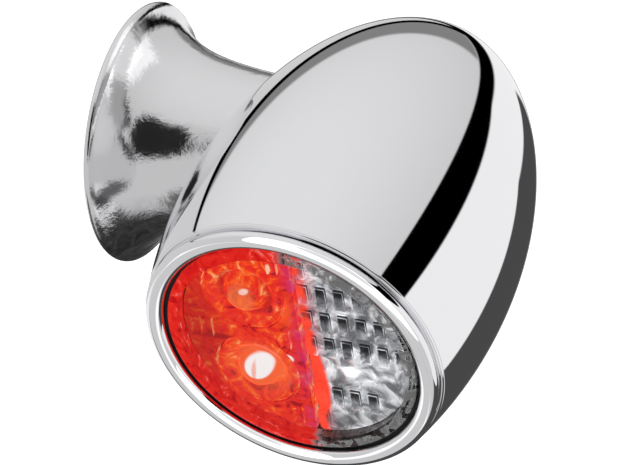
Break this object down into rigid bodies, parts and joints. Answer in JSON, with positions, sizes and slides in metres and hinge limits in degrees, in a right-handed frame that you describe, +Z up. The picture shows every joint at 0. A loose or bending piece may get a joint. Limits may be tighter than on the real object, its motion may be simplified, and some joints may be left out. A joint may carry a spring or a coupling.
{
  "type": "motorcycle tail light",
  "caption": "Bullet-shaped chromed tail light on a flared foot, with a round lens split into a red tail half and a clear signal half.",
  "frame": {"origin": "centre of the foot's flat mounting face, on the axis of the threaded socket", "axes": "+X from the mounting face along the stem to the housing; the lens looks along -Y and the nose points along +Y; +Z up"},
  "size_m": [0.0566, 0.0592, 0.0428],
  "materials": {
    "chrome_plate": "bright nickel-chrome plate on a die casting, mirror polished",
    "chromed_plastic": "vacuum-metallised plastic, bright",
    "black_rubber": "moulded, matt",
    "zinc_steel": "zinc plated, bright",
    "brass": "turned",
    "clear_lens": "clear moulded polycarbonate, polished",
    "clear_optic": "clear moulded acrylic, polished",
    "red_optic": "clear acrylic filled with red light, polished",
    "carrier_plastic": "moulded, fine texture",
    "white_board": "white solder mask on glass-fibre laminate",
    "green_board": "green solder mask on glass-fibre laminate",
    "red_led": "silicone window in a ceramic package",
    "signal_led": "yellow phosphor window in a ceramic package",
    "sink_aluminium": "die cast, blasted",
    "component_black": "moulded epoxy",
    "capacitor_can": "drawn can",
    "coil_ferrite": "ferrite drum with lacquered wire",
    "terminal_green": "moulded polyamide"
  },
  "bodies": {
    "root": {"housing_shell": "chrome_plate", "foot_stem": "chrome_plate", "bezel_ring": "chrome_plate", "mount_insert": "brass", "cable_grommet": "black_rubber", "foot_gasket": "black_rubber", "clamp_tube": "zinc_steel", "clamp_washer": "zinc_steel", "stem_seal": "black_rubber", "lens": "clear_lens", "lens_gasket": "black_rubber", "lamp_carrier": "carrier_plastic", "tail_optic": "red_optic", "collimator_upper": "red_optic", "collimator_lower": "red_optic", "signal_optic": "clear_optic", "chamber_divider": "carrier_plastic", "reflector": "chromed_plastic", "led_board": "white_board", "tail_led_upper": "red_led", "tail_led_lower": "red_led", "signal_led_upper": "signal_led", "signal_led_lower": "signal_led", "heat_sink": "sink_aluminium", "sink_screw_upper": "zinc_steel", "sink_screw_lower": "zinc_steel", "board_spacer_left": "brass", "board_spacer_right": "brass", "spacer_screw_left": "zinc_steel", "spacer_screw_right": "zinc_steel", "driver_board": "green_board", "driver_chip": "component_black", "input_capacitor": "capacitor_can", "filter_coil": "coil_ferrite", "surge_diode": "component_black", "terminal_block": "terminal_green"}
  },
  "joints": []
}
